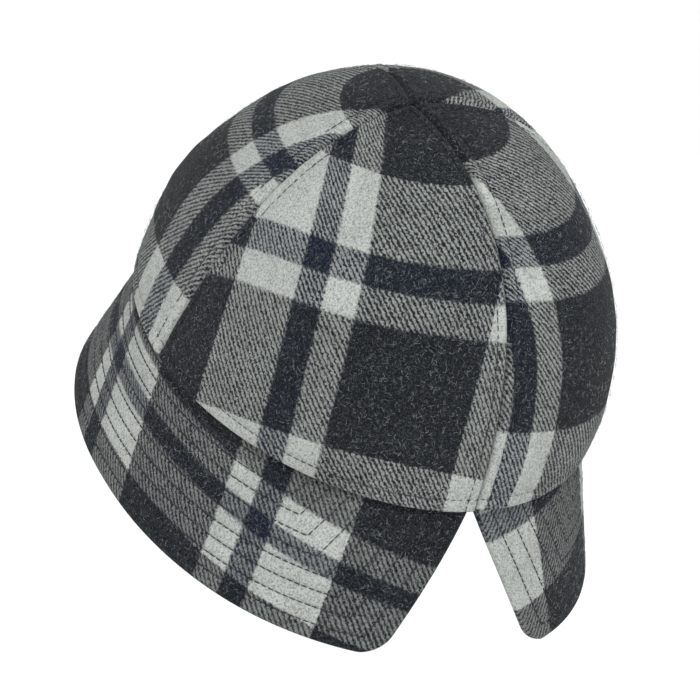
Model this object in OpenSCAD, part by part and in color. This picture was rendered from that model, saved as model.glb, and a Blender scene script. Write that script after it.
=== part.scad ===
// Four-panel cloth trapper hat with a notched brim, held up as a head holds it.
// Front is -Y, the notch is at +Y, the wearer's left is +X.
// Z = 0 is the plane of the crown's lower edge, and the origin is its centre. Units are mm.

/* [Crown] */

// Half length of the crown's lower edge, front to back
half_len = 105; // [95:1:115]
// Half width of the crown's lower edge
half_wid = 87; // [80:0.5:98]
// Height of the crown above its lower edge
crown_h = 110; // [95:1:125]
// How far each panel swells out between its seams, as a share of the radius
panel_swell = 0.03; // [0:0.005:0.05]
// How far the soft crown leans to the wearer's right at its top
lean_right = 5.5; // [0:0.5:8]
// How far the soft crown leans to the back at its top
lean_back = 2.5; // [0:0.5:6]
// How far to the wearer's left of the top the four seams meet
meet_left = 13; // [0:1:18]
// How far in front of the top the four seams meet
meet_front = 6; // [0:1:12]
// Thickness of the wool cloth
cloth_t = 1.8; // [1.2:0.1:2.4]
// Gap left between neighbouring pieces of cloth
seam_gap = 0.3; // [0.2:0.05:0.6]

/* [Brim] */

// Depth of the brim from the crown's edge to the rim
brim_depth = 58.5; // [45:0.5:70]
// Slope of the brim below level at the sides
slope_side = 78; // [60:1:85]
// Slope of the brim below level at the front
slope_front = 70; // [55:1:85]
// Slope of the brim below level at the back
slope_back = 64; // [50:1:85]
// Half angle of the notch at the back
notch_angle = 27; // [15:1:35]
// Radius of the corners beside the notch
corner_r = 8; // [4:1:16]
// Depth of the brim at which it turns up
fold_depth = 15; // [12:1:20]
// Distance between the rows of stitching on the brim
row_pitch = 6; // [4:0.5:8]
// Depth of the first row of stitching
first_row = 4.5; // [3:0.5:8]
// Number of rows of stitching
row_count = 9; // [5:1:9]

/* [Inside] */

// Height of the sweatband
band_h = 32; // [25:1:40]
// Thickness of the sweatband
band_t = 1.2; // [0.8:0.1:2]
// Thickness of the lining
lining_t = 0.6; // [0.4:0.1:1]
// Width of the tape over each crown seam
tape_w = 14; // [8:1:20]

/* [Stitching] */

// Width of a sewn thread
thread_w = 0.8; // [0.5:0.1:1.2]
// How far a thread stands above the cloth
thread_t = 0.4; // [0.2:0.05:0.6]
// Distance from a crown seam to the row of stitching beside it
seam_row = 5; // [3:0.5:8]

/* [Hidden] */

// Inward offsets of each layer from the crown's outer surface
hem_in = cloth_t + seam_gap;
hem_t = 1;
brim_in = hem_in + hem_t + seam_gap;
lining_in = cloth_t + seam_gap;
tape_in = lining_in + lining_t + 4 * seam_gap;
tape_t = 0.6;
// The brim is three layers: cloth, interlining, cloth
face_t = 1.1;
inter_t = 0.5;
layer_gap = 0.15;
brim_t = 2 * face_t + inter_t + 2 * layer_gap;
band_in = brim_in + brim_t + seam_gap;
hem_h = 11;
tuck_h = 8;
root_rows = floor((fold_depth - 1 - first_row) / row_pitch) + 1;
panel_n = 14;
rise_n = 13;
// Angles between which each zone of the brim turns up, from the back towards the left
back_end = 55;
side_end = 124;
zone_gap = 0.6;

wool = [0.33, 0.34, 0.36];
wool_light = [0.62, 0.63, 0.63];
thread = [0.07, 0.07, 0.09];
satin = [0.12, 0.13, 0.16];
canvas = [0.75, 0.74, 0.70];
label_white = [0.86, 0.86, 0.84];

// ---- Crown surface: angle f from the back towards the left, rise u from 0 to 1 ----

function swell(f, w) = 1 - panel_swell * sin(180 * pow(w, 0.8)) * cos(4 * f);
function round_in(u) = pow(cos(90 * u), 0.95);
function crown_pt(f, u, d = 0) =
  let (a = half_wid - d, b = half_len - d, k = swell(f, sin(90 * u)), m = pow(1 - round_in(u), 1.5),
       x = a * round_in(u) * sin(f) + meet_left * m, y = b * round_in(u) * cos(f) - meet_front * m,
       w = sqrt(max(0, 1 - pow(min(1, norm([x / a, y / b])), 2 / 0.95))), lean = sin(90 * w))
  [k * x - lean_right * lean, k * y + lean_back * lean, (crown_h - d) * w];
// The same surface at height z; below the crown's edge it runs straight down
function crown_at(f, z, d) =
  z > 0 ? crown_pt(f, asin(min(1, z / (crown_h - d))) / 90, d)
        : [(half_wid - d) * sin(f), (half_len - d) * cos(f), z];

// ---- Brim surface: angle f, depth t from the crown's edge, inward offset d ----

function slope(f) =
  let (c = cos(f), k = pow(abs(c), 1.5))
  c > 0 ? slope_side + (slope_back - slope_side) * k : slope_side + (slope_front - slope_side) * k;
function edge_n(f) =
  let (v = [half_len * sin(f), half_wid * cos(f)]) v / norm(v);
function brim_pt(f, t, d = 0) =
  let (s = slope(f), n = edge_n(f), o = t * cos(s) - d * sin(s) - brim_in,
       down = t * sin(s) + d * cos(s))
  t < 0 ? crown_at(f, -t, brim_in + d)
        : [half_wid * sin(f) + n[0] * o, half_len * cos(f) + n[1] * o, -down];
// Angle at which the notch's edge lies at depth t
function notch_f(t) =
  let (x = notch_x(max(t, 0)) + 0.5) asin(min(0.9, x / (half_wid + t * 0.3)));
function notch_x(t) =
  let (e = t - (brim_depth - corner_r))
  t * tan(notch_angle) + (e > 0 ? corner_r - sqrt(max(0, corner_r * corner_r - e * e)) : 0);

// ---- Solids from grids of points ----

function grid_faces(n, m) =
  let (k = (n + 1) * (m + 1))
  concat(
    [for (i = [0:n - 1], j = [0:m - 1]) let (a = i * (m + 1) + j, b = a + m + 1) each
      [[a, b, a + 1], [b, b + 1, a + 1], [k + a, k + a + 1, k + b], [k + b, k + a + 1, k + b + 1]]],
    [for (i = [0:n - 1]) let (a = i * (m + 1), b = a + m + 1) each
      [[a, k + a, b], [b, k + a, k + b], [a + m, b + m, k + a + m], [b + m, k + b + m, k + a + m]]],
    [for (j = [0:m - 1]) let (a = j, b = n * (m + 1) + j) each
      [[a, a + 1, k + a], [a + 1, k + a + 1, k + a], [b, k + b, b + 1], [b + 1, k + b, k + b + 1]]]);

// A sheet between two grids of points: the outer grid, then the inner one
module sheet(outer, inner, n, m) {
  polyhedron(points = concat(outer, inner), faces = grid_faces(n, m), convexity = 6);
}

// ---- Crown ----

// A quarter of the dome between two inward offsets; its sides stop short of the seams
module quarter(f0, d, t, u0, u1, side, n, m) {
  us = [for (j = [0:m]) u0 + (u1 - u0) * j / m];
  function edge_f(i, u) =
    let (a = side / (half_wid * round_in(u)) * 57.3) f0 + a + (90 - 2 * a) * i / n;
  sheet([for (i = [0:n], u = us) crown_pt(edge_f(i, u), u, d)],
        [for (i = [0:n], u = us) crown_pt(edge_f(i, u), u, d + t)], n, m);
}

module panel(f0) { color(wool) quarter(f0, 0, cloth_t, 0, 0.992, seam_gap / 2, panel_n, rise_n); }
module lining(f0) {
  color(satin) quarter(f0, lining_in, lining_t, 0.13, 0.985, seam_gap / 2, panel_n - 6, rise_n - 5);
}

module panel_front_left() { panel(90); }
module panel_front_right() { panel(180); }
module panel_back_left() { panel(0); }
module panel_back_right() { panel(270); }
module lining_front_left() { lining(90); }
module lining_front_right() { lining(180); }
module lining_back_left() { lining(0); }
module lining_back_right() { lining(270); }

// A strip that lies along a seam: side is its distance from the seam, w its width
module seam_strip(f0, side, w, d, t, u0, u1, m) {
  us = [for (j = [0:m]) u0 + (u1 - u0) * j / m];
  function at(s, u, e) =
    crown_pt(f0 + s / (half_wid * round_in(u)) * 57.3, u, e);
  sheet([for (s = [side - w / 2, side + w / 2], u = us) at(s, u, d)],
        [for (s = [side - w / 2, side + w / 2], u = us) at(s, u, d + t)], 1, m);
}

module seam_tape(f0) { color(canvas) seam_strip(f0, 0, tape_w, tape_in, tape_t, 0.14, 0.86, 12); }
module seam_stitching(f0) {
  color(thread) for (s = [-seam_row, seam_row])
    seam_strip(f0, s, thread_w, -thread_t - 0.25, thread_t, 0.04, 0.9, 20);
}

module seam_tape_front() { seam_tape(180); }
module seam_tape_back() { seam_tape(0); }
module seam_tape_left() { seam_tape(90); }
module seam_tape_right() { seam_tape(270); }
module seam_stitching_front() { seam_stitching(180); }
module seam_stitching_back() { seam_stitching(0); }
module seam_stitching_left() { seam_stitching(90); }
module seam_stitching_right() { seam_stitching(270); }

// ---- Bands that run round the head ----

// A band between inward offsets d and d + t, from height z0 to z1, over angles f0 to f1
module band(d, t, z0, z1, f0, f1, n, m = 1) {
  fs = [for (i = [0:n]) f0 + (f1 - f0) * i / n];
  zs = [for (j = [0:m]) z0 + (z1 - z0) * j / m];
  sheet([for (f = fs, z = zs) crown_at(f, z, d)], [for (f = fs, z = zs) crown_at(f, z, d + t)], n, m);
}

module crown_hem() { color(wool) band(hem_in, hem_t, 0.4, hem_h, 0.2, 359.8, 56, 2); }
module hem_stitching() {
  color(thread) for (f0 = [0, 90, 180, 270])
    band(-thread_t - 0.25, thread_t, 4.6, 4.6 + thread_w, f0 + 1, f0 + 89, 12);
}
module sweatband() { color(satin) band(band_in, band_t, 0, band_h, 0.2, 359.8, 56, 3); }
module sweatband_binding() {
  color(thread) band(band_in - 0.2, band_t + 0.8, -2.4, -0.3, 0.2, 359.8, 56);
}
module size_label() {
  color(label_white) band(band_in + band_t + 0.5, 0.4, 8, 24, -7, 7, 4, 3);
}
module care_label() {
  color(label_white) band(band_in + band_t + 0.5, 0.4, 6, 28, 84, 96, 4, 3);
}

// ---- Brim ----

// Depths of the grid's rows; one row always lies on the line where the brim leaves the crown
function rows(t0, t1, m) =
  t0 < 0 ? [t0, t0 / 2, for (j = [0:m - 2]) t1 * j / (m - 2)]
         : [for (j = [0:m]) t0 + (t1 - t0) * (1 - pow(1 - j / m, 1.4))];
// One layer of the brim between depths t0 and t1; the notch trims it at the back
module brim_layer(f0, f1, t0, t1, d, t, n, m) {
  ts = rows(t0, t1, m);
  function lo(e) = f0 < 0.5 ? notch_f(e) : f0;
  function hi(e) = f1 > 359.5 ? 360 - notch_f(e) : f1;
  function at(i, e, o) = brim_pt(lo(e) + (hi(e) - lo(e)) * i / n, e, o);
  sheet([for (i = [0:n], e = ts) at(i, e, d)], [for (i = [0:n], e = ts) at(i, e, d + t)], n, m);
}

module top_layer(f0, f1, t0, t1, n, m = 6) { color(wool) brim_layer(f0, f1, t0, t1, 0, face_t, n, m); }
module inter_layer(f0, f1, t0, t1, n, m = 4) {
  color(canvas) brim_layer(f0, f1, t0, t1, face_t + layer_gap, inter_t, n, m);
}
module under_layer(f0, f1, t0, t1, n, m = 6) {
  color(wool_light) brim_layer(f0, f1, t0, t1, face_t + inter_t + 2 * layer_gap, face_t, n, m);
}

// Depth of a row of stitching, and the angle at which it turns up beside the notch
function row_t(i) = first_row + i * row_pitch;
function turn_f(i, t) = notch_f(t) + (row_count - i) * 5;
// Clearance under a thread, which covers the flats of the cloth beneath it
thread_lift = 0.35;

// A thread along the rim at depth t
module rim_thread(f0, f1, t, n) {
  brim_layer(f0, f1, t, t + thread_w, -thread_t - thread_lift, thread_t, n, 1);
}
// The thread of row i where it runs up beside the notch, between two depths
module notch_thread(i, t0, t1) {
  m = 5;
  ts = [for (j = [0:m]) t0 + (t1 - t0) * j / m];
  function at(s, t, e) = brim_pt(turn_f(i, t) + s, t, e);
  sheet([for (s = [0, 0.5], t = ts) at(s, t, -thread_t - thread_lift)],
        [for (s = [0, 0.5], t = ts) at(s, t, -thread_lift)], 1, m);
}

// Where the turned-up zones begin
fold_t = fold_depth + 0.6;

module back_zone_stitching() {
  color(thread) for (i = [root_rows:row_count - 1]) {
    rim_thread(turn_f(i, row_t(i)) + 0.5, back_end - 0.4, row_t(i), 10);
    notch_thread(i, fold_t, row_t(i) + thread_w);
  }
}
module side_zone_stitching() {
  color(thread) for (i = [root_rows:row_count - 1])
    rim_thread(back_end + zone_gap + 0.4, side_end - 0.4, row_t(i), 12);
}

module brim_root_top() { top_layer(0, 360, -tuck_h, fold_depth, 56, 5); }
module brim_root_interlining() { inter_layer(0, 360, 2 - tuck_h, fold_depth, 56, 5); }
module brim_root_under() { under_layer(0, 360, -tuck_h, fold_depth, 56, 5); }
module brim_root_stitching() {
  color(thread) {
    for (i = [0:root_rows - 1])
      rim_thread(turn_f(i, row_t(i)) + 0.5, 359.5 - turn_f(i, row_t(i)), row_t(i), 56);
    for (side = [0, 1]) mirror([side, 0, 0]) {
      for (i = [0:root_rows - 1]) notch_thread(i, 2, row_t(i) + thread_w);
      for (i = [root_rows:row_count - 1]) notch_thread(i, 2, fold_depth);
    }
  }
}

module brim_left_top() { top_layer(back_end + zone_gap, side_end, fold_t, brim_depth, 12); }
module brim_left_interlining() { inter_layer(back_end + zone_gap, side_end, fold_t, brim_depth - 2, 12); }
module brim_left_under() { under_layer(back_end + zone_gap, side_end, fold_t, brim_depth, 12); }
module brim_left_stitching() { side_zone_stitching(); }

module brim_right_top() { mirror([1, 0, 0]) brim_left_top(); }
module brim_right_interlining() { mirror([1, 0, 0]) brim_left_interlining(); }
module brim_right_under() { mirror([1, 0, 0]) brim_left_under(); }
module brim_right_stitching() { mirror([1, 0, 0]) side_zone_stitching(); }

module brim_front_top() {
  top_layer(side_end + zone_gap, 360 - side_end - zone_gap, fold_t, brim_depth, 18);
}
module brim_front_interlining() {
  inter_layer(side_end + zone_gap, 360 - side_end - zone_gap, fold_t, brim_depth - 2, 18);
}
module brim_front_under() {
  under_layer(side_end + zone_gap, 360 - side_end - zone_gap, fold_t, brim_depth, 18);
}
module brim_front_stitching() {
  color(thread) for (i = [root_rows:row_count - 1])
    rim_thread(side_end + zone_gap + 0.4, 359.6 - side_end - zone_gap, row_t(i), 18);
}

module brim_back_left_top() { top_layer(0, back_end, fold_t, brim_depth, 10); }
module brim_back_left_interlining() { inter_layer(0, back_end, fold_t, brim_depth - 2, 10); }
module brim_back_left_under() { under_layer(0, back_end, fold_t, brim_depth, 10); }
module brim_back_left_stitching() { back_zone_stitching(); }

module brim_back_right_top() { mirror([1, 0, 0]) brim_back_left_top(); }
module brim_back_right_interlining() { mirror([1, 0, 0]) brim_back_left_interlining(); }
module brim_back_right_under() { mirror([1, 0, 0]) brim_back_left_under(); }
module brim_back_right_stitching() { mirror([1, 0, 0]) back_zone_stitching(); }

panel_front_left();
panel_front_right();
panel_back_left();
panel_back_right();
crown_hem();
hem_stitching();
seam_stitching_front();
seam_stitching_back();
seam_stitching_left();
seam_stitching_right();
lining_front_left();
lining_front_right();
lining_back_left();
lining_back_right();
seam_tape_front();
seam_tape_back();
seam_tape_left();
seam_tape_right();
sweatband();
sweatband_binding();
size_label();
care_label();
brim_root_top();
brim_root_interlining();
brim_root_under();
brim_root_stitching();
brim_left_top();
brim_left_interlining();
brim_left_under();
brim_left_stitching();
brim_right_top();
brim_right_interlining();
brim_right_under();
brim_right_stitching();
brim_front_top();
brim_front_interlining();
brim_front_under();
brim_front_stitching();
brim_back_left_top();
brim_back_left_interlining();
brim_back_left_under();
brim_back_left_stitching();
brim_back_right_top();
brim_back_right_interlining();
brim_back_right_under();
brim_back_right_stitching();
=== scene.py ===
# Looks of the plaid trapper hat: cloth, stitching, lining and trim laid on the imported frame.
# Lengths in the helpers are millimetres; meshes are written in metres.
# Capital letters hold whole grids: E across the cloth, U up the crown, T down the brim, F the angle.
import math
import bpy
import numpy as np
from mathutils import Matrix, Vector


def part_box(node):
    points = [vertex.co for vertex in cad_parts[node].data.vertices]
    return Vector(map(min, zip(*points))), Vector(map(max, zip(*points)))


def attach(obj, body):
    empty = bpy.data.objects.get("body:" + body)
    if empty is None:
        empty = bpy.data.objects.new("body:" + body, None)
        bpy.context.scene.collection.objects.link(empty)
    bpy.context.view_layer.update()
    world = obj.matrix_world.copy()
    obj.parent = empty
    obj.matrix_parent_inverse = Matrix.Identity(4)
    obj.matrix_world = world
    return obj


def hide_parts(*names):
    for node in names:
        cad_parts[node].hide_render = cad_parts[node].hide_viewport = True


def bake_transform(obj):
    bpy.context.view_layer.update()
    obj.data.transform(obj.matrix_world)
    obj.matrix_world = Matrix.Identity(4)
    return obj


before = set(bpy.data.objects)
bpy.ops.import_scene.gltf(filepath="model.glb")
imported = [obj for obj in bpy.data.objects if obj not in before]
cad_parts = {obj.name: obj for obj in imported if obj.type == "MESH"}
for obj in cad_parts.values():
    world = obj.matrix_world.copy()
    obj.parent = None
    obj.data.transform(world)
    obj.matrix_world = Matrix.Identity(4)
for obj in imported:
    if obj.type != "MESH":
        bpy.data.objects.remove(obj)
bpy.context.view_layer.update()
MM = 0.001
rng = np.random.default_rng(7)

# ---- Sizes ----

HEM_IN = 2.1  # the hem lies this far inside the crown's outer face
hem_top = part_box("crown_hem")[1]
HALF_WID = hem_top.x / MM + HEM_IN
HALF_LEN = hem_top.y / MM + HEM_IN
CLOTH = 1.8
CROWN_H = 110.0
DOME = 0.95  # exponent of the crown's outline; 1 is an ellipse, lower is squarer
SWELL = 0.03  # how much each quarter of the crown bulges between its seams
LEAN_RIGHT = 5.5
LEAN_BACK = 2.5
MEET_LEFT = 13.0  # where the four crown seams meet, from the top of the dome
MEET_FRONT = 6.0
HEAD = np.array([0, 0, 20.0])  # a point inside the crown that every face looks away from
ROW_AWAY = 5.0  # distance of a row of topstitching from its seam or hem
PANEL_ROUND = 97.0  # middling radius of the crown at the hem, for lengths along the cloth
LINING_ROUND = 90.0  # the same for the lining and the tapes

BRIM_IN = 3.4  # the brim starts this far inside the crown's outer face
BRIM_T = 3.0
DEPTH = 58.5
SLOPE_SIDE = 78.0  # slope of the brim below the horizontal, in degrees
SLOPE_BACK = 64.0
SLOPE_FRONT = 70.0
NOTCH = math.tan(math.radians(27))
CORNER = 8.0
ROW_COUNT = 9
ROWS = [4.5 + 6 * i for i in range(ROW_COUNT)]
ROW_TURN = 5.0  # degrees between neighbouring rows where they run up beside the notch
ROW_MM = 1.72  # length of one degree along a row of stitching
BRIM_MM = 1.75  # length of one degree along the brim's cloth


# ---- Camera ----

AZIMUTH = math.radians(146.5)
ELEVATION = math.radians(31.5)
ROLL = math.radians(17)
CAMERA_AWAY = 1.6
AIM_RIGHT = -0.0042
AIM_UP = -0.0012


def make_camera():
    """The camera behind the hat and to its left, rolled as the hat is seen tilted."""
    level = math.cos(ELEVATION)
    back = Vector((math.sin(AZIMUTH) * level, -math.cos(AZIMUTH) * level, math.sin(ELEVATION)))
    right = Vector((math.cos(AZIMUTH), math.sin(AZIMUTH), 0))
    up = back.cross(right)
    turned_right = right * math.cos(ROLL) + up * math.sin(ROLL)
    turned_up = up * math.cos(ROLL) - right * math.sin(ROLL)
    data = bpy.data.cameras.new("camera")
    camera = bpy.data.objects.new("camera", data)
    bpy.context.collection.objects.link(camera)
    data.lens = 213.9
    data.sensor_width = 36
    data.dof.use_dof = False
    camera.rotation_mode = "QUATERNION"
    axes = Matrix((turned_right, turned_up, back)).transposed()
    camera.rotation_quaternion = axes.to_quaternion()
    camera.location = back * CAMERA_AWAY + turned_right * AIM_RIGHT + turned_up * AIM_UP
    data.clip_end = 20
    bpy.context.scene.camera = camera


make_camera()


# ---- The hat's surfaces, as the CAD lays them out ----
# f: angle in degrees from the back towards the wearer's left; d: inward offset

def crown(f, u, d=0.0):
    """Crown surface at rise u, from 0 at the hem to 1 at the top."""
    f, u, d = np.broadcast_arrays(np.asarray(f, float), np.asarray(u, float), np.asarray(d, float))
    a = np.radians(f)
    rise = u * math.pi / 2
    round_in = np.maximum(np.cos(rise), 0) ** DOME
    swell = 1 - SWELL * np.sin(math.pi * np.maximum(np.sin(rise), 0) ** 0.8) * np.cos(4 * a)
    shift = (1 - round_in) ** 1.5
    x = (HALF_WID - d) * round_in * np.sin(a) + MEET_LEFT * shift
    y = (HALF_LEN - d) * round_in * np.cos(a) - MEET_FRONT * shift
    out = np.minimum(np.hypot(x / (HALF_WID - d), y / (HALF_LEN - d)), 1)
    high = np.sqrt(np.maximum(1 - out ** (2 / DOME), 0))
    lean = np.sin(math.pi / 2 * high)
    x = swell * x - LEAN_RIGHT * lean
    y = swell * y + LEAN_BACK * lean
    return np.stack([x, y, (CROWN_H - d) * high], -1)


def crown_z(f, z, d):
    """Crown surface at height z; straight down below the hem."""
    f, z, d = np.broadcast_arrays(np.asarray(f, float), np.asarray(z, float), np.asarray(d, float))
    high = np.clip(z / (CROWN_H - d), 0, 1)
    p = crown(f, np.degrees(np.arcsin(high)) / 90, d)
    p[..., 2] = z
    return p


def edge_normal(f):
    """Level direction straight out from the oval of the crown's edge."""
    a = np.radians(f)
    v = np.stack([HALF_LEN * np.sin(a), HALF_WID * np.cos(a)], -1)
    return v / np.linalg.norm(v, axis=-1)[..., None]


def slope(f):
    """Slope of the brim below the horizontal, in radians."""
    c = np.cos(np.radians(f))
    end = np.where(c > 0, SLOPE_BACK, SLOPE_FRONT)
    return np.radians(SLOPE_SIDE - (SLOPE_SIDE - end) * np.abs(c) ** 1.5)


def brim_out(f):
    """Direction straight out of the brim's top face."""
    s = slope(f)
    n = edge_normal(f)
    return np.stack([n[..., 0] * np.sin(s), n[..., 1] * np.sin(s), np.cos(s)], -1)


def brim(f, t, d=0.0):
    """Brim surface at depth t below the crown's edge; above it, up inside the crown."""
    f, t, d = np.broadcast_arrays(np.asarray(f, float), np.asarray(t, float), np.asarray(d, float))
    a = np.radians(f)
    n = edge_normal(f)
    s = slope(f)
    down = np.maximum(t, 0)
    reach = down * np.cos(s) - d * np.sin(s) - BRIM_IN
    x = HALF_WID * np.sin(a) + n[..., 0] * reach
    y = HALF_LEN * np.cos(a) + n[..., 1] * reach
    low = np.stack([x, y, -(down * np.sin(s) + d * np.cos(s))], -1)
    high = crown_z(f, np.maximum(-t, 0), BRIM_IN + d)
    mix = np.clip(-t / 3.0, 0, 1)[..., None]
    high[..., 2] = np.maximum(-t, 0) - d * 0.3
    return low * (1 - mix) + high * mix


def notch_x(t):
    """Half the width of the notch at depth t, with its rounded corners."""
    t = np.maximum(t, 0)
    e = np.maximum(t - (DEPTH - CORNER), 0)
    return t * NOTCH + CORNER - np.sqrt(np.maximum(CORNER ** 2 - e ** 2, 0)) + 0.5


def notch_f(t):
    """Angle of the notch's edge at depth t."""
    t = np.asarray(t, float)
    return np.degrees(np.arcsin(np.minimum(0.9, notch_x(t) / (HALF_WID + np.maximum(t, 0) * 0.3))))


def turn_f(i, t):
    """Angle at which row i of the brim's stitching runs up beside the notch."""
    return notch_f(t) + (ROW_COUNT - i) * ROW_TURN


def normals(p):
    """Unit normals of a grid of points, pointing away from the hat's middle."""
    a = np.gradient(p, axis=0)
    b = np.gradient(p, axis=1)
    n = np.cross(a, b)
    n /= np.maximum(np.linalg.norm(n, axis=-1), 1e-9)[..., None]
    return n * np.sign((n * (p - HEAD)).sum(-1))[..., None]


def waves(x, y, seed, count=7, low=0.02, high=0.09):
    """Smooth random relief, about -1 to 1, over two coordinates in mm."""
    g = np.random.default_rng(seed)
    total = np.zeros(np.broadcast(x, y).shape)
    for _ in range(count):
        k = g.uniform(low, high)
        a, p = g.uniform(0, math.pi), g.uniform(0, 6.28)
        total = total + np.sin(k * 6.28 * (x * math.cos(a) + y * math.sin(a)) + p)
    return total / count


def groove(dist, width):
    """A smooth valley, 1 in its middle and near 0 beyond twice its width."""
    return np.exp(-(dist / width) ** 2)


def rounding(dist, r):
    """How far a rounded edge of radius r falls away at a distance from the edge."""
    e = np.clip(r - dist, 0, r)
    return r - np.sqrt(np.maximum(r * r - e * e, 0))


# ---- Meshes ----

def link(name, verts, faces, uv=None):
    """A smooth mesh from points in mm, with the cloth map where uv is given."""
    mesh = bpy.data.meshes.new(name)
    mesh.from_pydata([tuple(v) for v in np.asarray(verts) * MM], [], faces)
    mesh.update()
    if uv is not None:
        layer = mesh.uv_layers.new(name="cloth")
        loops = np.empty(len(mesh.loops), np.int32)
        mesh.loops.foreach_get("vertex_index", loops)
        layer.data.foreach_set("uv", np.asarray(uv, np.float32)[loops].ravel())
    mesh.polygons.foreach_set("use_smooth", [True] * len(mesh.polygons))
    obj = bpy.data.objects.new(name, mesh)
    bpy.context.collection.objects.link(obj)
    return obj


def grid_shell(name, outer, inner, uv=None, closed=False):
    """A closed skin between two grids of points. closed joins the first column to the last."""
    n, m = outer.shape[:2]
    k = n * m
    idx = np.arange(k).reshape(n, m)
    i0 = idx if closed else idx[:-1]
    i1 = np.roll(idx, -1, 0) if closed else idx[1:]
    a, b, c, d = i0[:, :-1].ravel(), i1[:, :-1].ravel(), i1[:, 1:].ravel(), i0[:, 1:].ravel()
    faces = np.concatenate([np.stack([a, b, c, d], -1), np.stack([d, c, b, a], -1) + k])
    sides = []
    for j in (0, m - 1):
        p, q = i0[:, j], i1[:, j]
        ring = np.stack([q, p, p + k, q + k], -1)
        sides.append(ring if j == 0 else ring[:, ::-1])
    if not closed:
        for i in (0, n - 1):
            p, q = idx[i, :-1], idx[i, 1:]
            ring = np.stack([p, q, q + k, p + k], -1)
            sides.append(ring if i == 0 else ring[:, ::-1])
    faces = np.concatenate([faces] + sides)
    verts = np.concatenate([outer.reshape(-1, 3), inner.reshape(-1, 3)])
    both = None if uv is None else np.concatenate([uv.reshape(-1, 2)] * 2)
    obj = link(name, verts, faces.tolist(), both)
    first = obj.data.polygons[len(obj.data.polygons) // 4]
    if first.normal.dot(Vector(first.center) - Vector(HEAD * MM)) < 0:
        obj.data.flip_normals()
    return obj


def along_run(s, along, points):
    """Points at the distances s, where along holds the distance of each given point."""
    return np.stack([np.interp(s, along, points[:, c]) for c in range(3)], -1)


def stitches(name, runs):
    """Thread stitches along runs of (points, normals): short rounded capsules whose ends dip in."""
    pitch = 2.9
    radius = 0.21
    sink = 0.16
    length = pitch * 0.88
    ring_n = 6
    cuts = np.array([-0.5, -0.36, 0.0, 0.36, 0.5])
    girth = np.array([0.35, 0.9, 1.0, 0.9, 0.35])
    dip = np.array([-0.42, -0.1, 0.12, -0.1, -0.42])
    verts, faces = [], []
    for pts, nrm in runs:
        seg = np.linalg.norm(np.diff(pts, axis=0), axis=1)
        along = np.concatenate([[0], np.cumsum(seg)])
        count = int(along[-1] // pitch)
        if count < 1:
            continue
        mids = (np.arange(count) + 0.5) * along[-1] / count
        for mid in mids:
            s = mid + cuts * length * rng.uniform(0.92, 1.05)
            c = along_run(s, along, pts)
            n = along_run(s, along, nrm)
            n /= np.linalg.norm(n, axis=1)[:, None]
            tangent = c[-1] - c[0]
            tangent /= np.linalg.norm(tangent)
            side = np.cross(n, tangent)
            side /= np.maximum(np.linalg.norm(side, axis=1), 1e-9)[:, None]
            c = c + n * (dip[:, None] * radius * 2 - sink)
            base = len(verts)
            for ci, ni, si, gi in zip(c, n, side, girth):
                for q in range(ring_n):
                    ang = q * 2 * math.pi / ring_n
                    verts.append(ci + (si * math.cos(ang) + ni * math.sin(ang)) * radius * gi)
            rings = len(cuts)
            for r in range(rings - 1):
                for q in range(ring_n):
                    a, b = base + r * ring_n + q, base + r * ring_n + (q + 1) % ring_n
                    faces.append((a, b, b + ring_n, a + ring_n))
            faces.append(tuple(base + q for q in reversed(range(ring_n))))
            faces.append(tuple(base + (rings - 1) * ring_n + q for q in range(ring_n)))
    return link(name, np.array(verts), faces)


def fibres(name, points, nrm, seed):
    """Loose wool hairs: thin curved tubes that start in the cloth, rise a little and lie down again."""
    g = np.random.default_rng(seed)
    count = len(points)
    cuts = 6
    radius = 0.05
    s = np.linspace(0, 1, cuts)
    ahead = np.cross(nrm, g.normal(size=(count, 3)))
    ahead /= np.linalg.norm(ahead, axis=1)[:, None]
    aside = np.cross(nrm, ahead)
    turn = g.uniform(-2.2, 2.2, count)[:, None] * s
    step = (g.uniform(0.9, 2.4, count) / (cuts - 1))[:, None]
    x = np.cumsum(np.cos(turn), axis=1) * step
    y = np.cumsum(np.sin(turn), axis=1) * step
    h = g.uniform(0.12, 0.5, count)[:, None] * 4 * s * (1 - s) - 0.1
    mid = points[:, None] + ahead[:, None] * x[..., None] + aside[:, None] * y[..., None]
    mid = mid + nrm[:, None] * h[..., None]
    across = aside[:, None] * np.cos(turn)[..., None] - ahead[:, None] * np.sin(turn)[..., None]
    a = np.radians([0, 120, 240])[:, None]
    ring = across[:, :, None] * np.cos(a) + nrm[:, None, None] * np.sin(a)
    verts = (mid[:, :, None] + ring * radius).reshape(-1, 3)
    cells = []
    for r in range(cuts - 1):
        for q in range(3):
            b, c = r * 3 + q, r * 3 + (q + 1) % 3
            cells += [(b, c, c + 3), (b, c + 3, b + 3)]
    cells += [(0, 2, 1), (cuts * 3 - 3, cuts * 3 - 2, cuts * 3 - 1)]
    faces = (np.array(cells)[None] + (np.arange(count) * cuts * 3)[:, None, None]).reshape(-1, 3)
    return link(name, verts, faces.tolist())


# ---- Materials ----

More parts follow.
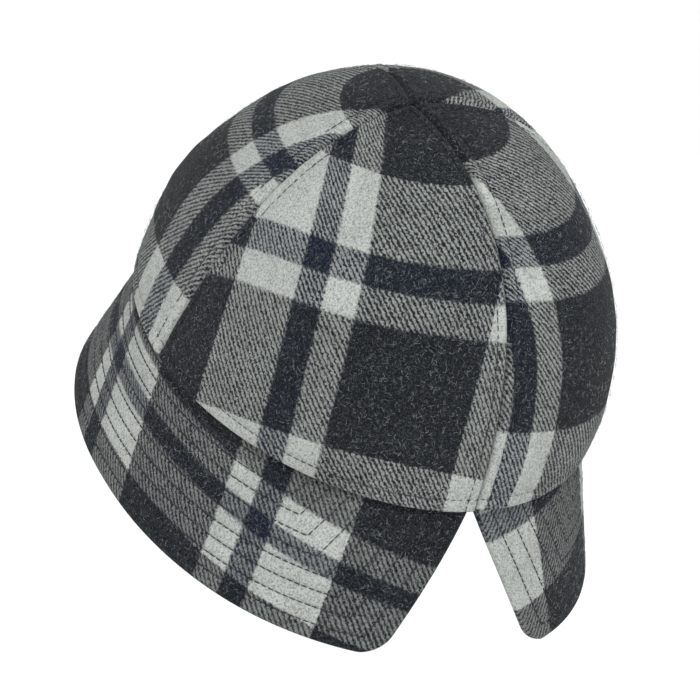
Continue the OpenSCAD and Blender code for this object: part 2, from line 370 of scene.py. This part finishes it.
class Nodes:
    """Small helper for building a shader tree."""

    def __init__(self, name):
        self.mat = bpy.data.materials.new(name)
        self.mat.use_nodes = True
        self.tree = self.mat.node_tree
        self.bsdf = self.tree.nodes["Principled BSDF"]

    def new(self, kind, **values):
        node = self.tree.nodes.new(kind)
        for key, value in values.items():
            setattr(node, key, value)
        return node

    def put(self, socket, value):
        if isinstance(value, bpy.types.NodeSocket):
            self.tree.links.new(value, socket)
        else:
            socket.default_value = value

    def math(self, op, a, b=0.0, c=None):
        node = self.new("ShaderNodeMath", operation=op)
        self.put(node.inputs[0], a)
        self.put(node.inputs[1], b)
        if c is not None:
            self.put(node.inputs[2], c)
        return node.outputs[0]

    def mix(self, factor, a, b, blend="MIX"):
        node = self.new("ShaderNodeMix", data_type="RGBA", blend_type=blend)
        self.put(node.inputs[0], factor)
        self.put(node.inputs[6], a)
        self.put(node.inputs[7], b)
        return node.outputs[2]

    def noise(self, vector, scale, detail=2.0, rough=0.5, distortion=0.0):
        node = self.new("ShaderNodeTexNoise")
        self.put(node.inputs["Vector"], vector)
        node.inputs["Scale"].default_value = scale
        node.inputs["Detail"].default_value = detail
        node.inputs["Roughness"].default_value = rough
        node.inputs["Distortion"].default_value = distortion
        return node.outputs["Fac"]

    def span(self, value, lo, hi, to_lo=0.0, to_hi=1.0):
        node = self.new("ShaderNodeMapRange")
        self.put(node.inputs["Value"], value)
        for key, v in (("From Min", lo), ("From Max", hi), ("To Min", to_lo), ("To Max", to_hi)):
            node.inputs[key].default_value = v
        return node.outputs["Result"]

    def ramp(self, value, stops, mode="LINEAR"):
        node = self.new("ShaderNodeValToRGB")
        node.color_ramp.interpolation = mode
        points = node.color_ramp.elements
        while len(points) > 1:
            points.remove(points[-1])
        points[0].position, points[0].color = stops[0]
        for pos, color in stops[1:]:
            points.new(pos).color = color
        self.put(node.inputs[0], value)
        return node.outputs[0]

    def bump(self, height, strength, distance):
        node = self.new("ShaderNodeBump")
        node.inputs["Strength"].default_value = strength
        node.inputs["Distance"].default_value = distance
        self.put(node.inputs["Height"], height)
        self.put(self.bsdf.inputs["Normal"], node.outputs[0])


# Yarn colours, and the widths in mm of the bars of charcoal, light, navy and light
LIGHT = (0.425, 0.45, 0.425, 1)
CHARCOAL = (0.0035, 0.005, 0.006, 1)
NAVY = (0.001, 0.0042, 0.016, 1)
LIGHT_HAIR = (0.135, 0.15, 0.162, 1)
DARK_FLECK = (0.008, 0.010, 0.014, 1)
TWILL_PITCH = 2.85
WARP = (53.0, 13.0, 12.0, 31.0)
WEFT = (49.0, 12.5, 12.0, 31.5)
WEFT_BRIM = (44.5, 11.0, 8.0, 19.0)


def sett(nodes, value, widths):
    """The colour of the yarn at a place across the cloth: charcoal, light, navy, light, and again."""
    total = sum(widths)
    part = nodes.math("FRACT", nodes.math("DIVIDE", value, total))
    edges = np.cumsum(widths) / total
    soft = 0.45 / total
    stops = [(0.0, CHARCOAL)]
    for k, (before, after) in enumerate(((CHARCOAL, LIGHT), (LIGHT, NAVY), (NAVY, LIGHT))):
        stops += [(edges[k] - soft, before), (edges[k] + soft, after)]
    stops += [(1 - soft, LIGHT), (1.0, CHARCOAL)]
    return nodes.ramp(part, stops)


def wool(name, weft_widths, across=1.25, along=-1.0, nap_and_shade=1.0):
    """Brushed plaid twill. The cloth map holds the warp and weft places in units of 100 mm."""
    k = Nodes(name)
    uv = k.new("ShaderNodeUVMap", uv_map="cloth").outputs[0]
    split = k.new("ShaderNodeSeparateXYZ")
    k.put(split.inputs[0], uv)
    spot = k.new("ShaderNodeTexCoord").outputs["Object"]
    wobble = k.math("MULTIPLY", k.math("SUBTRACT", k.noise(spot, 900, 2), 0.5), 2.6)
    x = k.math("ADD", k.math("MULTIPLY", split.outputs[0], 100.0), wobble)
    wobble_y = k.math("MULTIPLY", k.math("SUBTRACT", k.noise(uv, 110, 2), 0.5), 2.6)
    y = k.math("ADD", k.math("MULTIPLY", split.outputs[1], 100.0), wobble_y)
    warp = sett(k, x, WARP)
    weft = sett(k, y, weft_widths)
    line = k.math("ADD", k.math("MULTIPLY", x, across), k.math("MULTIPLY", y, along))
    ridge = k.math("SINE", k.math("MULTIPLY", line, 6.2832 / TWILL_PITCH))
    fibres = k.noise(spot, 1500, 3, 0.65)
    over = k.math("ADD", ridge, k.math("MULTIPLY", k.math("SUBTRACT", fibres, 0.5), 3.2 * nap_and_shade))
    cover = k.span(over, -0.55 * nap_and_shade, 0.75 * nap_and_shade)
    color = k.mix(cover, warp, weft)
    # Where the two yarns differ the felted nap lets the darker one show through; a value above 1, as on
    # the brim, darkens this further as painted shade
    color = k.mix(0.40 + 0.5 * (nap_and_shade - 1), color, k.mix(1.0, warp, weft, "DARKEN"))
    # Fibres of the other yarns raised by the brushing, and flecks of light and dark
    fleck = k.noise(spot, 1400, 3, 0.75)
    hair = k.noise(spot, 1150, 4, 0.8, 1.6)
    light_fleck = k.span(hair, 0.535, 0.625, 0.0, 0.80)
    dark_fleck = k.span(fleck, 0.54, 0.34, 0.0, 0.60)
    color = k.mix(light_fleck, color, LIGHT_HAIR)
    color = k.mix(dark_fleck, color, DARK_FLECK)
    cloud = k.span(k.noise(spot, 42, 3), 0.3, 0.7, 0.88, 1.12)
    scaled = k.new("ShaderNodeVectorMath", operation="SCALE")
    k.put(scaled.inputs[0], color)
    k.put(scaled.inputs["Scale"], cloud)
    k.put(k.bsdf.inputs["Base Color"], scaled.outputs[0])
    k.put(k.bsdf.inputs["Roughness"], k.span(fibres, 0.3, 0.7, 0.86, 1.0))
    k.bsdf.inputs["Specular IOR Level"].default_value = 0.10
    k.bsdf.inputs["Sheen Weight"].default_value = 0.03
    k.bsdf.inputs["Sheen Roughness"].default_value = 0.6
    height = k.math("ADD", k.math("MULTIPLY", ridge, 0.25), k.math("MULTIPLY", fleck, 1.6))
    k.bump(height, 0.55, 0.00035)
    return k.mat


def plain_cloth(name, color, line_scale, lines, rough=0.8, sheen=0.1, depth=0.0002):
    """A woven or ribbed cloth of one colour with its own yarn lines and slight unevenness."""
    k = Nodes(name)
    spot = k.new("ShaderNodeTexCoord").outputs["Object"]
    split = k.new("ShaderNodeSeparateXYZ")
    k.put(split.inputs[0], spot)
    a = k.math("SINE", k.math("MULTIPLY", k.math("ADD", split.outputs[0], split.outputs[1]), line_scale))
    b = k.math("SINE", k.math("MULTIPLY", split.outputs[2], line_scale * lines))
    weave = k.math("MULTIPLY", a, b)
    grain = k.noise(spot, 1400, 3)
    tone = k.math("ADD", k.math("MULTIPLY", weave, 0.12), k.span(grain, 0.3, 0.7, 0.8, 1.2))
    scaled = k.new("ShaderNodeVectorMath", operation="SCALE")
    scaled.inputs[0].default_value = color
    k.put(scaled.inputs["Scale"], tone)
    k.put(k.bsdf.inputs["Base Color"], scaled.outputs[0])
    k.put(k.bsdf.inputs["Roughness"], k.span(grain, 0.3, 0.7, rough - 0.08, min(1.0, rough + 0.08)))
    k.bsdf.inputs["Sheen Weight"].default_value = sheen
    k.bsdf.inputs["Specular IOR Level"].default_value = 0.3
    k.bump(k.math("ADD", weave, grain), 0.5, depth)
    return k.mat


wool_crown = wool("wool_crown", WEFT)
# The brim's 1.35 gives a looser nap and also a darker twill that is painted shade
wool_brim_left = wool("wool_brim_left", WEFT_BRIM, 1.0, -1.0, 1.35)
wool_brim_right = wool("wool_brim_right", WEFT, 1.0, 1.0, 1.35)
fibre_mat = plain_cloth("wool_fibre", (0.25, 0.27, 0.27), 900, 1.0, 0.9, 0.1, 0.00002)
thread_mat = plain_cloth("thread", (0.012, 0.013, 0.02), 9000, 1.7, 0.6, 0.05, 0.0001)
lining_mat = plain_cloth("lining", (0.05, 0.055, 0.07), 7000, 1.0, 0.5, 0.1)
tape_mat = plain_cloth("tape", (0.045, 0.048, 0.06), 5200, 1.3, 0.8, 0.1)
band_mat = plain_cloth("sweatband", (0.035, 0.038, 0.05), 4200, 2.6, 0.85, 0.15)
binding_mat = plain_cloth("binding", (0.02, 0.022, 0.03), 5200, 1.6, 0.8, 0.1)
label_mat = plain_cloth("label", (0.62, 0.62, 0.60), 8200, 1.0, 0.7, 0.05)


def dress(obj, mat, body="crown", nodes=()):
    """Gives a piece its material, hides the CAD nodes it stands for and attaches it to the body it rides
    on.
    """
    obj.data.materials.append(mat)
    if nodes:
        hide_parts(*nodes)
    if body:
        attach(obj, body)
    return obj


# ---- Crown panels ----

ARC_RISE = np.linspace(0, 1, 401)
arc_steps = np.linalg.norm(np.diff(crown(45, ARC_RISE), axis=0), axis=1)
ARC = np.concatenate([[0.0], np.cumsum(arc_steps)])


def rise_mm(u):
    """Length of cloth from the hem up to rise u."""
    return np.interp(u, ARC_RISE, ARC)


# Where the plaid falls on each panel: (start angle, warp, direction, slant, weft, tilt, bow)
PLAID = {
    "back_left": (0, 61.0, 1, 0.127, -14.5, 0.17, 0.0025),
    "back_right": (270, 4.5, 1, -0.175, -25.0, -0.10, 0.0),
    "front_left": (90, 11.0, -1, 0.21, -22.0, 0.05, 0.0),
    "front_right": (180, 30.0, 1, -0.1, -22.0, 0.04, 0.0),
}


def crown_relief(seam, v, x, seed):
    """Outward relief of the crown cloth, from the distance to the nearest seam and the hem."""
    pucker = waves(v * 3.2, x * 0.4, seed + 5, 6, 0.04, 0.12)
    h = 0.3 - 1.1 * groove(seam, 1.1)
    h = h - 0.42 * groove(seam - ROW_AWAY, 0.8) + 0.2 * groove(seam - 2.6, 1.6)
    h = h + 0.35 * pucker * groove(seam - 6.5, 4.5)
    h = h - 0.42 * groove(v - ROW_AWAY, 0.8) + 0.15 * groove(v - 2.2, 1.8)
    h = h + 0.9 * waves(x, v, seed, 6, 0.006, 0.02) * np.clip(seam / 18, 0, 1) * np.clip(v / 18, 0, 1)
    return h + 0.25 * waves(x, v, seed + 9, 8, 0.03, 0.09) * np.clip(v / 10, 0, 1)


def seam_gap(U, width):
    """Half the gap of a seam in degrees, for a half width in mm."""
    return np.degrees(width / (HALF_WID * np.maximum(np.cos(U * math.pi / 2), 0) ** DOME))


def lift(p, h):
    """A grid of points moved outward by the relief h."""
    return p + normals(p) * h[..., None]


def make_panel(side):
    """One quarter of the crown's wool, with its relief, rounded edges and cloth map."""
    start, warp0, way, slant, weft0, tilt, bow = PLAID[side]
    us = np.concatenate([np.linspace(0, 0.012, 5), np.linspace(0.012, 0.994, 186)[1:]])
    e = np.linspace(0, 1, 171)
    e = e - 0.045 * np.sin(2 * math.pi * e)
    e = (e - e[0]) / (e[-1] - e[0])
    E, U = np.meshgrid(e, us, indexing="ij")
    gap = seam_gap(U, 0.08)
    F = start + gap + (90 - 2 * gap) * E
    base = crown(F, U)
    V = rise_mm(U)
    rad = PANEL_ROUND * np.cos(U * math.pi / 2)
    X = np.radians(F - start - 45) * rad
    seam = np.minimum(E, 1 - E) * math.pi / 2 * rad
    relief = crown_relief(seam, V, X + start, 11 + start)
    relief = relief - rounding(seam + 0.1, 1.0) - rounding(V + 0.05, 0.9)
    outer = lift(base, relief)
    inner = lift(crown(F, U, CLOTH), rounding(V + 0.05, 0.8) - 0.1)
    q = warp0 + way * (X - slant * V)
    qv = V + weft0 + tilt * X + bow * X * X
    obj = grid_shell("panel_" + side + "_cloth", outer, inner, np.stack([q, qv], -1) / 100)
    return dress(obj, wool_crown, "crown", ["panel_" + side])


def crown_fibres():
    """Loose hairs all over the crown."""
    g = np.random.default_rng(3)
    count = 6500
    f = g.uniform(0, 360, count)
    u = np.arcsin(g.uniform(0, 0.985, count)) / (math.pi / 2)
    p = crown(f, u)
    n = np.cross(crown(f + 0.3, u) - p, crown(f, u + 0.004) - p)
    n /= np.linalg.norm(n, axis=1)[:, None]
    n *= np.sign((n * (p - HEAD)).sum(-1))[:, None]
    dress(fibres("crown_fibres", p + n * 0.45, n, 5), fibre_mat)


for side in PLAID:
    make_panel(side)
crown_fibres()


# ---- Crown stitching ----

def crown_run(f0, s):
    """A row of topstitching up the crown, s mm beside the seam at f0."""
    u = np.linspace(0.0, 0.955, 200)
    rad = PANEL_ROUND * np.cos(u * math.pi / 2)
    f = f0 + np.degrees(s / np.maximum(rad, 4))
    p = crown(f, u)
    n = p - np.array([0, 0, 10.0])
    n = n / np.linalg.norm(n, axis=1)[:, None]
    return p + n * 0.12, n


SEAMS = {"back": 0, "left": 90, "front": 180, "right": 270}
for name, f0 in SEAMS.items():
    runs = [crown_run(f0, s) for s in (-ROW_AWAY, ROW_AWAY)]
    obj = stitches("seam_stitches_" + name, runs)
    dress(obj, thread_mat, "crown", ["seam_stitching_" + name])

f = np.linspace(0.3, 359.7, 900)
hem_points = crown_z(f, np.full(f.shape, ROW_AWAY), 0.0)
hem_normals = np.concatenate([edge_normal(f), np.zeros((len(f), 1))], 1)
obj = stitches("hem_stitches", [(hem_points + hem_normals * 0.12, hem_normals)])
dress(obj, thread_mat, "crown", ["hem_stitching"])


# ---- Inside of the crown ----

def ring(name, z0, z1, d, thick, count, rows, mat, slot, nodes, relief=None, span=(0, 360)):
    """A band of cloth round the inside of the crown, d mm in from its outer face."""
    whole = span[1] - span[0] >= 360
    f = np.linspace(span[0], span[1], count, endpoint=not whole)
    z = np.linspace(z0, z1, rows)
    F, Z = np.meshgrid(f, z, indexing="ij")
    edge = np.minimum(Z - z0, z1 - Z)
    r = rounding(edge + 0.02, thick * 0.48)
    h = relief(F, Z) if relief else 0.0
    outer = crown_z(F, Z, d + r)
    inner = crown_z(F, Z, d + thick - r + h)
    obj = grid_shell(name, outer, inner, None, whole)
    return dress(obj, mat, "crown", nodes)


ring("crown_hem_cloth", 0.5, 11, HEM_IN, 1.0, 240, 14, tape_mat, "wool_crown", ["crown_hem"])
ring("sweatband_cloth", 0.0, 31.5, 6.9, 1.3, 720, 40, band_mat, "sweatband", ["sweatband"],
     lambda F, Z: 0.16 * np.sin(np.radians(F) * 330) + 0.25 * waves(F * 1.6, Z, 3, 6, 0.01, 0.04))
ring("sweatband_edge_binding", -2.6, -0.1, 6.6, 2.2, 360, 9, binding_mat, "binding",
     ["sweatband_binding"], lambda F, Z: 0.1 * np.sin(np.radians(F) * 220))
ring("size_label_cloth", 8, 24, 8.5, 0.45, 40, 20, label_mat, "label", ["size_label"],
     lambda F, Z: 0.08 * waves(F * 3, Z, 4), (-7, 7))
ring("care_label_cloth", 6, 28, 8.5, 0.45, 40, 26, label_mat, "label", ["care_label"],
     lambda F, Z: 0.12 * waves(F * 3, Z, 5), (84, 96))

for side, (start, *_) in PLAID.items():
    E, U = np.meshgrid(np.linspace(0, 1, 60), np.linspace(0.12, 0.992, 70), indexing="ij")
    gap = seam_gap(U, 0.05)
    F = start + gap + (90 - 2 * gap) * E
    x = np.radians(F - start - 45) * LINING_ROUND * np.cos(U * math.pi / 2)
    v = rise_mm(U)
    sag = 0.4 * waves(x, v, 31 + start, 7, 0.01, 0.045) + 0.3
    outer = crown(F, U, 2.05)
    inner = crown(F, U, 2.6 + np.maximum(sag, 0) * np.sin(math.pi * E))
    obj = grid_shell("lining_" + side + "_cloth", outer, inner)
    dress(obj, lining_mat, "crown", ["lining_" + side])

TAPE_HALF = 7.0
for name, f0 in SEAMS.items():
    E, U = np.meshgrid(np.linspace(-1, 1, 13), np.linspace(0.13, 0.93, 110), indexing="ij")
    rad = np.maximum(LINING_ROUND * np.cos(U * math.pi / 2), 3)
    F = f0 + np.degrees(E * TAPE_HALF / rad)
    r = rounding(TAPE_HALF * (1 - np.abs(E)) + 0.02, 0.3)
    wave = 0.12 * waves(E * TAPE_HALF, rise_mm(U), 51 + f0, 5, 0.03, 0.1)
    outer = crown(F, U, 3.9 + r + wave)
    inner = crown(F, U, 4.6 - r + wave)
    obj = grid_shell("seam_tape_" + name + "_cloth", outer, inner)
    dress(obj, tape_mat, "crown", ["seam_tape_" + name])


# ---- Brim ----

# Start and end angle of each zone
ZONES = {
    "back_left": (0, 55.3),
    "left": (55.3, 124.3),
    "front": (124.3, 235.7),
    "right": (235.7, 304.7),
    "back_right": (304.7, 360),
}


def fold(f):
    """Angle from the notch, 0 to 180, on either side."""
    return np.abs((np.asarray(f) + 180) % 360 - 180)


def row_distance(F, T):
    """Distance in mm from a place on the brim to the nearest row of stitching."""
    a = fold(F)
    best = np.full(F.shape, 9.0)
    for i, row in enumerate(ROWS):
        side = (a - turn_f(i, T)) * ROW_MM
        rim = np.where(side > 0, np.abs(T - row), 9.0)
        up = np.where(T < row, np.abs(side), np.hypot(side, T - row))
        best = np.minimum(best, np.minimum(rim, up))
    return best


def brim_relief(F, T):
    """Outward relief of both faces: the rows of stitching, the front seam and slight unevenness."""
    h = 0.28 - 0.65 * groove(row_distance(F, T), 0.65)
    h = h - 0.9 * groove((F - 180) * 1.9, 0.9)  # the seam at front centre
    h = h + 0.14 * waves(F * BRIM_MM, T * 3, 71, 8, 0.03, 0.12)
    return h * np.clip(T / 3 + 0.2, 0, 1)


def brim_sag(F, T):
    """Slow bends of the whole brim, the same on both faces."""
    return 0.9 * waves(F * BRIM_MM, T * 0.6, 77, 6, 0.004, 0.014) * np.clip(T / 25, 0, 1)


def brim_map(F, T):
    """Where the plaid falls on the brim; its two halves are cut from different places."""
    a = fold(F)
    right = (np.asarray(F) % 360) > 180
    s = (95 - a) * BRIM_MM
    v = T - 0.0007 * s * s  # the bars along the brim bow towards its ends
    x = s - T * 0.0065 * (a - 41)  # the bars across it lean further the farther they are from the notch
    q = np.where(right, 132 - x, x - 8.75)
    qv = v + np.where(right, 76.5, 37.5)
    return np.stack([q, qv], -1) / 100


def brim_point(F, T, d, h):
    """A place on the brim, d mm under its top face and raised by the relief h."""
    return brim(F, T, d) + brim_out(F) * (h + brim_sag(F, T))[..., None]


def make_brim(zone):
    """The wool of one zone: top face, rounded rim and under face in one skin."""
    f0, f1 = ZONES[zone]
    count = int((f1 - f0) * 2.6)
    lip_mm = 1.6
    body = np.linspace(-7, DEPTH - lip_mm, 130)
    lip = DEPTH - lip_mm + lip_mm * np.sin(np.linspace(0, math.pi / 2, 7))[1:]
    ts = np.concatenate([body, lip])
    E, T = np.meshgrid(np.linspace(0, 1, count), ts, indexing="ij")
    lo = notch_f(T) if f0 == 0 else np.full(T.shape, f0)
    hi = 360 - notch_f(T) if f1 == 360 else np.full(T.shape, f1)
    if zone.startswith("back"):
        E = E ** 1.5 if f0 == 0 else 1 - (1 - E) ** 1.5
    F = lo + (hi - lo) * E
    rim = DEPTH - T
    if f0 == 0:
        rim = np.minimum(rim, (F - lo) * 1.6)
    if f1 == 360:
        rim = np.minimum(rim, (hi - F) * 1.6)
    r = rounding(np.maximum(rim, 0) + 0.01, 1.45)
    h = brim_relief(F, T)
    top = brim_point(F, T, r, h * np.clip(rim / 2, 0.1, 1))
    under = brim_point(F, T, BRIM_T - r, -h * np.clip(rim / 2, 0.1, 1))
    obj = grid_shell("brim_" + zone + "_cloth", top, under, brim_map(F, T))
    mat = wool_brim_left if f0 < 180 else wool_brim_right
    nodes = ["brim_" + zone + part for part in ("_top", "_interlining", "_under")]
    if zone == "front":
        nodes += ["brim_root_top", "brim_root_interlining", "brim_root_under"]
    dress(obj, mat, None, nodes)
    bend(obj)


def bend(obj):
    """Bakes a piece's placement into its mesh."""
    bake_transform(obj)


def brim_run(F, T, side=1):
    """Points and outward directions on the top face (side 1) or the under face (side -1)."""
    F = np.asarray(F, float)
    T = np.asarray(T, float)
    p = brim_point(F, T, 0.0 if side > 0 else BRIM_T, np.full(F.shape, 0.05 * side))
    return p, brim_out(F) * side


def brim_rows(zone, side):
    """The rows of stitching of one zone: along the rim, and up beside the notch."""
    f0, f1 = ZONES[zone]
    runs = []
    for i, row in enumerate(ROWS):
        edge = float(turn_f(i, row))
        lo = max(f0, edge) if f0 == 0 else f0
        hi = min(f1, 360 - edge) if f1 == 360 else f1
        if hi - lo > 1:
            f = np.linspace(lo, hi, int((hi - lo) * 3))
            runs.append(brim_run(f, np.full(f.shape, row), side))
        if zone.startswith("back"):
            t = np.linspace(0.5, row, 60)
            a = turn_f(i, t)
            a = a if f0 == 0 else 360 - a
            keep = (a >= f0) & (a <= f1)
            if keep.sum() > 6:
                runs.append(brim_run(a[keep], t[keep], side))
    return runs


def brim_fibres(zone):
    """Loose hairs on the top face of one zone."""
    g = np.random.default_rng(8)
    f0, f1 = ZONES[zone]
    count = int((f1 - f0) * 7)
    t = g.uniform(1, DEPTH - 3, count)
    lo = notch_f(t) + 2 if f0 == 0 else f0 + 1
    hi = 358 - notch_f(t) if f1 == 360 else f1 - 1
    points, out = brim_run(lo + (hi - lo) * g.uniform(0, 1, count), t)
    obj = fibres("brim_" + zone + "_fibres", points + out * 0.28, out, 6)
    dress(obj, fibre_mat, None)
    bend(obj)


for zone in ZONES:
    make_brim(zone)
    brim_fibres(zone)
    runs = brim_rows(zone, 1) + brim_rows(zone, -1)
    obj = stitches("brim_" + zone + "_stitches", runs)
    nodes = ["brim_" + zone + "_stitching"] + (["brim_root_stitching"] if zone == "front" else [])
    dress(obj, thread_mat, None, nodes)
    bend(obj)


# ---- Floor, light and background ----

def lamp(name, where, power, width):
    """A square lamp that faces the origin."""
    data = bpy.data.lights.new(name, "AREA")
    data.energy = power
    data.size = width
    obj = bpy.data.objects.new(name, data)
    bpy.context.collection.objects.link(obj)
    obj.location = where
    obj.rotation_mode = "QUATERNION"
    obj.rotation_quaternion = Vector(where).to_track_quat("Z", "Y")


def make_stage():
    """A pale floor well under the hat, a bright world and two soft lamps."""
    mesh = bpy.data.meshes.new("floor")
    w = 6.0
    z = -0.42
    mesh.from_pydata([(-w, -w, z), (w, -w, z), (w, w, z), (-w, w, z)], [], [(0, 1, 2, 3)])
    floor = bpy.data.objects.new("floor", mesh)
    bpy.context.collection.objects.link(floor)
    k = Nodes("floor")
    spot = k.new("ShaderNodeTexCoord").outputs["Object"]
    color = k.mix(k.noise(spot, 3), (0.93, 0.93, 0.93, 1), (0.96, 0.96, 0.96, 1))
    k.put(k.bsdf.inputs["Base Color"], color)
    k.bsdf.inputs["Roughness"].default_value = 0.9
    mesh.materials.append(k.mat)
    world = bpy.data.worlds.new("world")
    bpy.context.scene.world = world
    world.use_nodes = True
    background = world.node_tree.nodes["Background"]
    background.inputs[0].default_value = (1, 1, 1, 1)
    background.inputs[1].default_value = 0.84
    lamp("key", (0.9, 0.8, 2.0), 34, 1.2)
    lamp("fill", (-1.0, 1.6, 1.0), 9, 1.6)


make_stage()
bpy.context.scene.view_settings.view_transform = "Standard"
